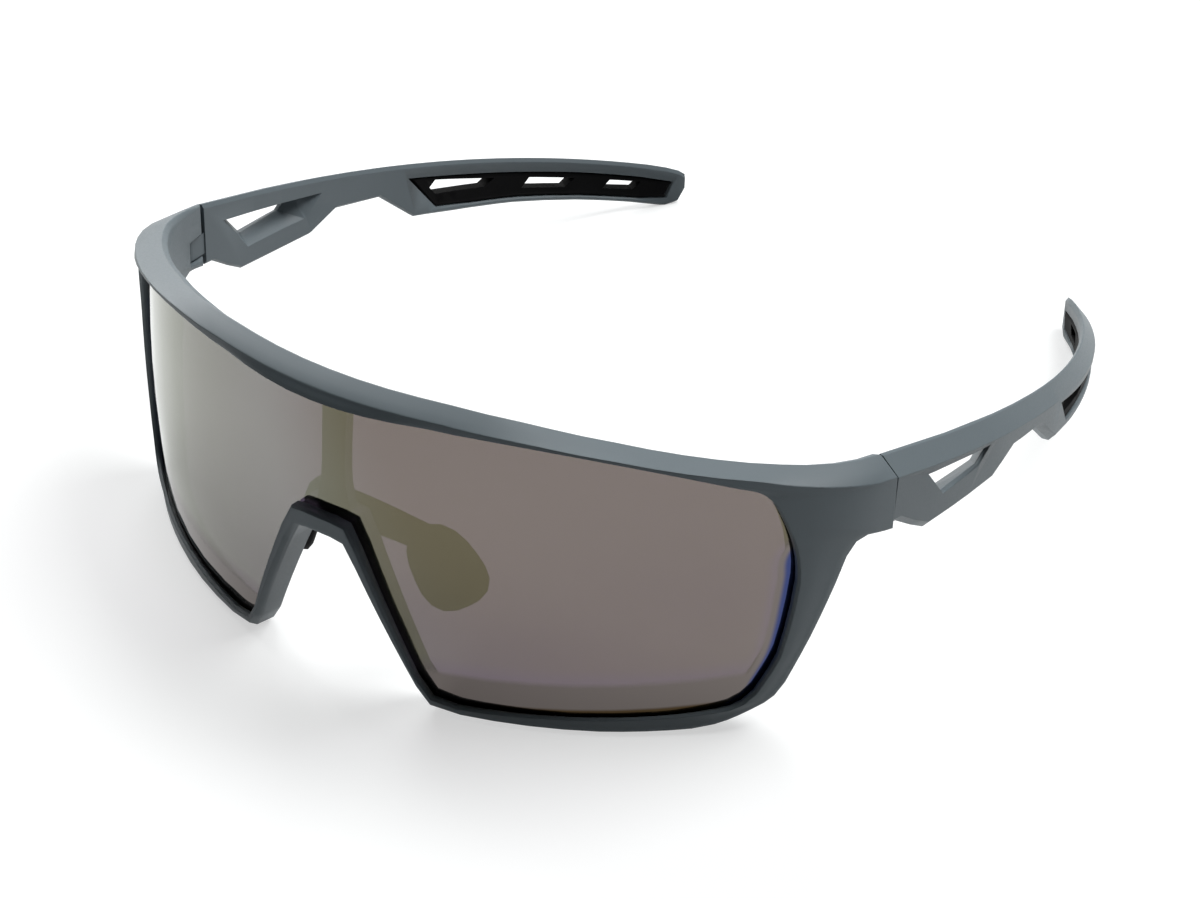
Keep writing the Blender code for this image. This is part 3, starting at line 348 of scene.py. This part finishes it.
def room_to_rim(tree, height, width):
    """How far a place on the lens is from its side edge, and from the nearer of side and low edge."""
    top, widest = LENS_SIDE_EDGE[-1]
    share = add_node(tree, "ShaderNodeMath", {1: top * MM}, {0: height}, operation="DIVIDE")
    edge = add_node(tree, "ShaderNodeFloatCurve", links={"Value": share.outputs["Value"]})
    curve = edge.mapping.curves[0]
    corners = [(level / top, reach / widest) for level, reach in LENS_SIDE_EDGE]
    curve.points[0].location = corners[0]
    curve.points[-1].location = corners[-1]
    for level, reach in corners[1:-1]:
        curve.points.new(level, reach)
    edge.mapping.update()
    reached = add_node(tree, "ShaderNodeMath", {1: widest * MM}, {0: edge.outputs["Value"]},
                       operation="MULTIPLY")
    across = add_node(tree, "ShaderNodeMath", links={0: reached.outputs["Value"], 1: width},
                      operation="SUBTRACT")
    side_room = add_node(tree, "ShaderNodeMath", {1: ALONG_PER_ACROSS},
                         {0: across.outputs["Value"]}, operation="MULTIPLY")
    low = add_node(tree, "ShaderNodeMath", {1: LOW_EDGE_RISE}, {0: width}, operation="MULTIPLY")
    low_room = add_node(tree, "ShaderNodeMath", links={0: height, 1: low.outputs["Value"]},
                        operation="SUBTRACT")
    ledge_room = add_node(tree, "ShaderNodeMath", {1: SIDE_LEDGE_SHARE},
                          {0: side_room.outputs["Value"]}, operation="MULTIPLY")
    room = add_node(tree, "ShaderNodeMath", {2: LEDGE_CORNER},
                    {0: ledge_room.outputs["Value"], 1: low_room.outputs["Value"]},
                    operation="SMOOTH_MIN")
    return side_room.outputs["Value"], room.outputs["Value"]


def smoke_inner_skin(settings):
    """The bare inner side of the lens: smoke polycarbonate with a plain gloss and no mirror."""
    made, tree, output, place = new_material("smoke_inner_skin")
    tint = linear(settings.tint)[:3]
    passed = (*(channel * (1.0 - settings.cover) for channel in tint), 1.0)
    marks = add_node(tree, "ShaderNodeTexNoise", {"Scale": 1.0 / (20.0 * MM), "Detail": 2.0},
                     {"Vector": place})
    rough = add_node(tree, "ShaderNodeMapRange", {"To Min": 0.03, "To Max": 0.06},
                     {"Value": marks.outputs["Fac"]})
    through = add_node(tree, "ShaderNodeBsdfTransparent", {"Color": passed})
    gloss = add_node(tree, "ShaderNodeBsdfGlossy", {"Color": WHITE},
                     {"Roughness": rough.outputs["Result"]})
    turned = add_node(tree, "ShaderNodeLayerWeight", {"Blend": 0.5})
    shine = add_node(tree, "ShaderNodeMapRange",
                     {"From Min": 0.5, "From Max": 1.0, "To Min": 0.04, "To Max": 0.6},
                     {"Value": turned.outputs["Facing"]})
    skin = add_node(tree, "ShaderNodeMixShader",
                    links={0: shine.outputs["Result"], 1: through.outputs["BSDF"],
                           2: gloss.outputs["BSDF"]})
    tree.links.new(skin.outputs["Shader"], output.inputs["Surface"])
    return made


def shaded_lens_edge(settings):
    """The cut and polished edge of the lens, smoke polycarbonate drawn near black as painted shade for
    the shadowed gap between lens and rim.
    """
    made, tree, output, place = new_material("shaded_lens_edge")
    marks = add_node(tree, "ShaderNodeTexNoise", {"Scale": 1.0 / (2.0 * MM), "Detail": 2.0},
                     {"Vector": place})
    rough = add_node(tree, "ShaderNodeMapRange", {"To Min": 0.3, "To Max": 0.5},
                     {"Value": marks.outputs["Fac"]})
    shader = add_node(tree, "ShaderNodeBsdfPrincipled",
                      {"Base Color": linear(settings.edge_shade), "Specular IOR Level": 0.2,
                       "IOR": 1.58}, {"Roughness": rough.outputs["Result"]})
    tree.links.new(shader.outputs["BSDF"], output.inputs["Surface"])
    return made


def moulded_rubber(settings):
    """Black thermoplastic rubber from a blasted mould, with a dull grain and a faint rubbed bloom."""
    made, tree, output, place = new_material("moulded_rubber")
    rubbed = add_node(tree, "ShaderNodeTexNoise", {"Scale": 1.0 / (9.0 * MM), "Detail": 4.0},
                      {"Vector": place})
    # the blasted grain is about 0.1 mm, drawn coarser so that it shows
    grains = add_node(tree, "ShaderNodeTexVoronoi", {"Scale": 1.0 / settings.grain},
                      {"Vector": place})
    colour = add_node(tree, "ShaderNodeMix", {6: linear(settings.colour), 7: linear(settings.worn)},
                      {0: rubbed.outputs["Fac"]}, data_type="RGBA")
    rough = add_node(tree, "ShaderNodeMapRange",
                     {"To Min": settings.roughness - 0.06, "To Max": settings.roughness + 0.1},
                     {"Value": rubbed.outputs["Fac"]})
    edges = add_node(tree, "ShaderNodeBevel", {"Radius": 0.25 * MM}, samples=4)
    bumps = add_node(tree, "ShaderNodeBump", {"Strength": 0.25, "Distance": 0.04 * MM},
                     {"Height": grains.outputs["Distance"], "Normal": edges.outputs["Normal"]})
    shader = add_node(tree, "ShaderNodeBsdfPrincipled", {"Specular IOR Level": 0.04, "IOR": 1.5},
                      {"Base Color": colour.outputs[2], "Roughness": rough.outputs["Result"],
                       "Normal": bumps.outputs["Normal"]})
    tree.links.new(shader.outputs["BSDF"], output.inputs["Surface"])
    return made


def turned_metal(name, colour, roughness, axis_place):
    """Turned or drawn metal: fine rings about an upright axis and a few duller marks."""
    made, tree, output, place = new_material(name)
    centred = add_node(tree, "ShaderNodeMapping", {"Location": -axis_place}, {"Vector": place})
    # tool marks are about 0.05 mm apart, drawn coarser so that they show
    rings = add_node(tree, "ShaderNodeTexWave", {"Scale": 1.0 / (0.9 * MM), "Distortion": 0.6},
                     {"Vector": centred.outputs["Vector"]}, wave_type="RINGS", rings_direction="Z")
    marks = add_node(tree, "ShaderNodeTexNoise", {"Scale": 1.0 / (0.6 * MM), "Detail": 3.0},
                     {"Vector": place})
    bare = linear(colour)
    dulled = (*(0.8 * channel for channel in bare[:3]), 1.0)
    shade = add_node(tree, "ShaderNodeMix", {6: bare, 7: dulled}, {0: marks.outputs["Fac"]},
                     data_type="RGBA")
    rough = add_node(tree, "ShaderNodeMapRange",
                     {"To Min": roughness - 0.06, "To Max": roughness + 0.12},
                     {"Value": marks.outputs["Fac"]})
    bumps = add_node(tree, "ShaderNodeBump", {"Strength": 0.15, "Distance": 0.01 * MM},
                     {"Height": rings.outputs["Fac"]})
    shader = add_node(tree, "ShaderNodeBsdfPrincipled", {"Metallic": 1.0},
                      {"Base Color": shade.outputs[2], "Roughness": rough.outputs["Result"],
                       "Normal": bumps.outputs["Normal"]})
    tree.links.new(shader.outputs["BSDF"], output.inputs["Surface"])
    return made


# Pieces

def deselect_all():
    """Leaves edit mode and selects nothing."""
    if bpy.context.object and bpy.context.object.mode != "OBJECT":
        bpy.ops.object.mode_set(mode="OBJECT")
    bpy.ops.object.select_all(action="DESELECT")


def make_active(piece):
    """Selects one piece alone, for the operators that follow."""
    deselect_all()
    piece.select_set(True)
    bpy.context.view_layer.objects.active = piece


def finished_copy(name, node_name, smooth_below):
    """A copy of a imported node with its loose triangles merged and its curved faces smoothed.

    Faces that meet at less than smooth_below, in degrees, are shaded as one.
    """
    source = frame["nodes"][node_name]
    make_active(source)
    bpy.ops.object.duplicate()
    piece = bpy.context.object
    piece.name = name
    piece.data.name = name
    piece.parent = None
    piece.matrix_world = Matrix.Identity(4)
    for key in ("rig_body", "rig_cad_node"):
        if key in piece:
            del piece[key]
    make_active(piece)
    bpy.ops.object.mode_set(mode="EDIT")
    bpy.ops.mesh.select_all(action="SELECT")
    bpy.ops.mesh.remove_doubles(threshold=MERGE_DISTANCE)
    bpy.ops.object.mode_set(mode="OBJECT")
    bpy.ops.object.shade_smooth_by_angle(angle=math.radians(smooth_below))
    return piece


def weigh_normals(piece, mode):
    """Shades the rounds of a piece so that its large faces look flat."""
    make_active(piece)
    weigh = piece.modifiers.new("weigh", "WEIGHTED_NORMAL")
    weigh.mode = mode
    weigh.keep_sharp = True
    bpy.ops.object.modifier_apply(modifier=weigh.name)


def place_on(piece, body, slot, material, *nodes):
    """Gives a finished piece its material and body, and hides the nodes that it stands for; the slot is
    not used.
    """
    piece.data.materials.clear()
    piece.data.materials.append(material)
    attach(piece, body)
    if nodes:
        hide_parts(*nodes)
    deselect_all()


def shared_material(name, make, *values):
    """The material of that name, made on its first use."""
    found = bpy.data.materials.get(name)
    return found if found else make(*values)


class SUNGLASSES_OT_front(bpy.types.Operator):
    """Finish the full-rim front with its brow, bridge and end pieces"""

    bl_idname = "sunglasses.front"
    bl_label = "Finish Front"

    def execute(self, context):
        nylon = shared_material("lacquered_nylon", lacquered_nylon, context.scene.nylon_settings)
        piece = finished_copy("front_shell", "front_frame", smooth_below=24.0)
        weigh_normals(piece, "FACE_AREA")
        place_on(piece, "front", "frame_nylon", nylon, "front_frame")
        return {"FINISHED"}


class SUNGLASSES_OT_lens(bpy.types.Operator):
    """Finish the one-piece shield lens, with normals that follow its curve exactly"""

    bl_idname = "sunglasses.lens"
    bl_label = "Finish Lens"

    def execute(self, context):
        settings = context.scene.lens_settings
        piece = finished_copy("lens_shell", "shield_lens", smooth_below=40.0)
        mesh = piece.data
        place_on(piece, "front", "lens", flash_mirror_lens(settings), "shield_lens")
        # the lens's edge faces take the painted shade of the gap along the rim
        mesh.materials.append(shaded_lens_edge(settings))
        mesh.materials.append(smoke_inner_skin(settings))
        normals = [None] * len(mesh.loops)
        for face in mesh.polygons:
            facing = face.normal.dot(self.outward(face.center, settings))
            if abs(facing) > SKIN_FACING:
                face.material_index = OUTER_SKIN if facing > 0.0 else INNER_SKIN
                for corner in face.loop_indices:
                    place = mesh.vertices[mesh.loops[corner].vertex_index].co
                    normals[corner] = self.outward(place, settings) * math.copysign(1.0, facing)
            else:
                face.material_index = CUT_EDGE
                for corner in face.loop_indices:
                    normals[corner] = face.normal.copy()
        mesh.normals_split_custom_set(normals)
        return {"FINISHED"}

    def outward(self, place, settings):
        """Direction in which the shield faces at a place, worked out with the front upright."""
        upright = Matrix.Rotation(LEAN, 3, "X") @ (place - Vector(settings.curve_place))
        side = math.copysign(1.0, upright.x)
        centre = Vector((0.0, 0.0))
        if abs(math.atan2(upright.x, -upright.y)) > settings.curve_angle:
            beyond = settings.curve_radius - settings.end_radius
            angle = settings.curve_angle
            centre = Vector((side * math.sin(angle), -math.cos(angle))) * beyond
        flat = (upright.xy - centre).normalized()
        crowned = Vector((flat.x, flat.y, upright.z / settings.crown_radius)).normalized()
        return Matrix.Rotation(-LEAN, 3, "X") @ crowned


class SUNGLASSES_OT_temples(bpy.types.Operator):
    """Finish the two folding temples"""

    bl_idname = "sunglasses.temples"
    bl_label = "Finish Temples"

    def execute(self, context):
        nylon = shared_material("lacquered_nylon", lacquered_nylon, context.scene.nylon_settings)
        for side in SIDES:
            piece = finished_copy("temple_arm_" + side, "temple_" + side, smooth_below=22.0)
            # the flat sides come in slivers, and are made one face again
            bpy.ops.object.mode_set(mode="EDIT")
            bpy.ops.mesh.select_all(action="SELECT")
            bpy.ops.mesh.dissolve_limited(angle_limit=math.radians(1.5))
            bpy.ops.object.mode_set(mode="OBJECT")
            weigh_normals(piece, "FACE_AREA_WITH_ANGLE")
            place_on(piece, side + "_temple", "frame_nylon", nylon, "temple_" + side)
        return {"FINISHED"}


class SUNGLASSES_OT_grips(bpy.types.Operator):
    """Finish the rubber grips in the temples"""

    bl_idname = "sunglasses.grips"
    bl_label = "Finish Grips"

    def execute(self, context):
        rubber = shared_material("moulded_rubber", moulded_rubber, context.scene.rubber_settings)
        for side in SIDES:
            piece = finished_copy("grip_insert_" + side, "temple_grip_" + side, smooth_below=22.0)
            place_on(piece, side + "_temple", "grip_rubber", rubber, "temple_grip_" + side)
        return {"FINISHED"}


class SUNGLASSES_OT_nose(bpy.types.Operator):
    """Finish the rubber nose piece and the wire inside it"""

    bl_idname = "sunglasses.nose"
    bl_label = "Finish Nose Piece"

    def execute(self, context):
        rubber = shared_material("moulded_rubber", moulded_rubber, context.scene.rubber_settings)
        piece = finished_copy("nose_saddle", "nose_piece", smooth_below=40.0)
        place_on(piece, "front", "nose_rubber", rubber, "nose_piece")
        low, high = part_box("nose_wire")
        steel = turned_metal("drawn_wire", context.scene.hinge_settings.steel, roughness=0.3,
                             axis_place=(low + high) / 2.0)
        wire = finished_copy("nose_wire_core", "nose_wire", smooth_below=40.0)
        place_on(wire, "front", "wire_metal", steel, "nose_wire")
        return {"FINISHED"}


class SUNGLASSES_OT_hinges(bpy.types.Operator):
    """Finish the hinge screws and their brass inserts"""

    bl_idname = "sunglasses.hinges"
    bl_label = "Finish Hinges"

    def execute(self, context):
        settings = context.scene.hinge_settings
        for side in SIDES:
            low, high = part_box("hinge_screw_" + side)
            middle = (low + high) / 2.0
            steel = turned_metal("turned_steel_" + side, settings.steel, roughness=0.28,
                                 axis_place=middle)
            brass = turned_metal("turned_brass_" + side, settings.brass, roughness=0.34,
                                 axis_place=middle)
            screw = finished_copy("screw_" + side, "hinge_screw_" + side, METAL_SMOOTHING)
            self.cut_recess(screw, Vector((middle.x, middle.y, low.z)), settings)
            place_on(screw, "front", "screw_steel", steel, "hinge_screw_" + side)
            bush = finished_copy("bush_" + side, "hinge_insert_" + side, METAL_SMOOTHING)
            place_on(bush, "front", "insert_brass", brass, "hinge_insert_" + side)
        return {"FINISHED"}

    def cut_recess(self, screw, foot, settings):
        """Cuts the cross recess into the screw's head, which faces down."""
        for turn in (0.0, math.pi / 2.0):
            deselect_all()
            bpy.ops.mesh.primitive_cube_add(size=1.0, location=foot, rotation=(0.0, 0.0, turn))
            arm = bpy.context.object
            arm.scale = (settings.recess_span, settings.recess_width, 2.0 * settings.recess_depth)
            bpy.ops.object.transform_apply(location=True, rotation=True, scale=True)
            make_active(screw)
            cut = screw.modifiers.new("recess", "BOOLEAN")
            cut.operation = "DIFFERENCE"
            cut.object = arm
            bpy.ops.object.modifier_apply(modifier=cut.name)
            bpy.data.objects.remove(arm)
        bpy.ops.object.shade_smooth_by_angle(angle=math.radians(METAL_SMOOTHING))


# Studio

def soft_box(name, place, aim, size, power):
    """A square area lamp that points at the aim."""
    bpy.ops.object.light_add(type="AREA", location=place)
    lamp = bpy.context.object
    lamp.name = name
    lamp.data.shape = "SQUARE"
    lamp.data.size = size
    lamp.data.energy = power
    lamp.rotation_euler = (Vector(aim) - Vector(place)).to_track_quat("-Z", "Y").to_euler()


class SUNGLASSES_OT_studio(bpy.types.Operator):
    """Set up the pale table, the soft lamps and the camera"""

    bl_idname = "sunglasses.studio"
    bl_label = "Set Up Studio"

    def execute(self, context):
        settings = context.scene.studio_settings
        context.scene.view_settings.view_transform = "Standard"
        deselect_all()
        bpy.ops.mesh.primitive_plane_add(size=8.0, location=(0.0, 0.0, -TABLE_DROP))
        table = context.object
        table.name = "studio_table"
        table.data.transform(table.matrix_world)
        table.matrix_world = Matrix.Identity(4)
        table.data.materials.append(self.table_surface(settings))
        self.light_world(context, settings)
        soft_box("overhead_lamp", place=(0.50, 0.75, 1.55), aim=(0.0, 0.0, 0.02), size=1.2,
                 power=settings.key_power)
        soft_box("back_lamp", place=(-0.90, 0.60, 0.75), aim=(0.0, 0.0, 0.03), size=1.0,
                 power=settings.back_power)
        self.stand_camera(context, settings)
        deselect_all()
        return {"FINISHED"}

    def table_surface(self, settings):
        """Pale laminate that the eye and the mirrors see brighter than it lights the glasses."""
        made, tree, output, place = new_material("white_table")
        clouds = add_node(tree, "ShaderNodeTexNoise", {"Scale": 1.0 / (300.0 * MM)},
                          {"Vector": place})
        white = add_node(tree, "ShaderNodeMix",
                         {6: linear(settings.floor), 7: linear(settings.clouds)},
                         {0: clouds.outputs["Fac"]}, data_type="RGBA")
        path = add_node(tree, "ShaderNodeLightPath")
        lit = add_node(tree, "ShaderNodeBsdfDiffuse", links={"Color": white.outputs[2]})
        # the glow rises to full white away from the glasses, where the lamps light the table less
        away = add_node(tree, "ShaderNodeVectorMath", links={0: place}, operation="LENGTH")
        strength = add_node(tree, "ShaderNodeMapRange",
                            {"From Min": 0.3, "From Max": 1.6, "To Min": settings.glow,
                             "To Max": 1.0}, {"Value": away.outputs["Value"]})
        glow = add_node(tree, "ShaderNodeEmission", {"Color": WHITE},
                        {"Strength": strength.outputs["Result"]})
        seen = add_node(tree, "ShaderNodeAddShader",
                        links={0: lit.outputs["BSDF"], 1: glow.outputs["Emission"]})
        dimmed = add_node(tree, "ShaderNodeBsdfDiffuse", {"Color": linear(settings.bounce)})
        mixed = add_node(tree, "ShaderNodeMixShader",
                         links={0: path.outputs["Is Diffuse Ray"], 1: seen.outputs["Shader"],
                                2: dimmed.outputs["BSDF"]})
        tree.links.new(mixed.outputs["Shader"], output.inputs["Surface"])
        return made

    def light_world(self, context, settings):
        """A faint light from all round that the eye sees as full white."""
        world = context.scene.world or bpy.data.worlds.new("studio")
        context.scene.world = world
        world.use_nodes = True
        tree = world.node_tree
        tree.nodes.clear()
        path = add_node(tree, "ShaderNodeLightPath")
        dim = add_node(tree, "ShaderNodeBackground", {"Color": WHITE, "Strength": settings.ambient})
        white = add_node(tree, "ShaderNodeBackground", {"Color": WHITE, "Strength": 1.0})
        mixed = add_node(tree, "ShaderNodeMixShader",
                         links={0: path.outputs["Is Camera Ray"], 1: dim.outputs["Background"],
                                2: white.outputs["Background"]})
        add_node(tree, "ShaderNodeOutputWorld", links={"Surface": mixed.outputs["Shader"]})

    def stand_camera(self, context, settings):
        """The camera at the photograph's viewing angle."""
        azimuth = settings.camera_azimuth
        elevation = settings.camera_elevation
        back = Vector((math.sin(azimuth) * math.cos(elevation),
                       -math.cos(azimuth) * math.cos(elevation), math.sin(elevation)))
        level = Vector((math.cos(azimuth), math.sin(azimuth), 0.0))
        upright = back.cross(level)
        right = level * math.cos(settings.camera_roll) + upright * math.sin(settings.camera_roll)
        up = upright * math.cos(settings.camera_roll) - level * math.sin(settings.camera_roll)
        bpy.ops.object.camera_add()
        camera = context.object
        camera.name = "studio_camera"
        camera.data.sensor_width = 36.0
        camera.data.lens = settings.focal_length
        camera.data.clip_start = 0.01
        camera.data.clip_end = 20.0
        turn = Matrix((right, up, back)).transposed()
        camera.matrix_world = Matrix.Translation(settings.camera_place) @ turn.to_4x4()
        context.scene.camera = camera


# Panel and registration

class SUNGLASSES_PT_finish(bpy.types.Panel):
    """Sizes, colours and steps of the sunglasses"""

    bl_label = "Sunglasses"
    bl_idname = "SUNGLASSES_PT_finish"
    bl_space_type = "VIEW_3D"
    bl_region_type = "UI"
    bl_category = "Sunglasses"

    def draw(self, context):
        for title, group, steps in PANEL_ROWS:
            box = self.layout.box()
            box.label(text=title)
            settings = getattr(context.scene, group)
            for name in settings.bl_rna.properties.keys():
                if name not in ("rna_type", "name"):
                    box.prop(settings, name)
            for step in steps:
                box.operator(step)


PANEL_ROWS = (
    ("Nylon", "nylon_settings", ("sunglasses.front", "sunglasses.temples")),
    ("Lens", "lens_settings", ("sunglasses.lens",)),
    ("Rubber", "rubber_settings", ("sunglasses.grips", "sunglasses.nose")),
    ("Hinges", "hinge_settings", ("sunglasses.hinges",)),
    ("Studio", "studio_settings", ("sunglasses.studio",)),
)
GROUPS = {
    "nylon_settings": NylonSettings,
    "lens_settings": LensSettings,
    "rubber_settings": RubberSettings,
    "hinge_settings": HingeSettings,
    "studio_settings": StudioSettings,
}
CLASSES = (
    NylonSettings, LensSettings, RubberSettings, HingeSettings, StudioSettings,
    SUNGLASSES_OT_front, SUNGLASSES_OT_lens, SUNGLASSES_OT_temples, SUNGLASSES_OT_grips,
    SUNGLASSES_OT_nose, SUNGLASSES_OT_hinges, SUNGLASSES_OT_studio, SUNGLASSES_PT_finish,
)


def register():
    for cls in CLASSES:
        bpy.utils.register_class(cls)
    for name, group in GROUPS.items():
        setattr(bpy.types.Scene, name, bpy.props.PointerProperty(type=group))


def unregister():
    for name in GROUPS:
        delattr(bpy.types.Scene, name)
    for cls in reversed(CLASSES):
        bpy.utils.unregister_class(cls)


def main():
    """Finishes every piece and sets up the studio."""
    register()
    for step in ("front", "lens", "temples", "grips", "nose", "hinges", "studio"):
        getattr(bpy.ops.sunglasses, step)()


if __name__ == "__main__":
    main()
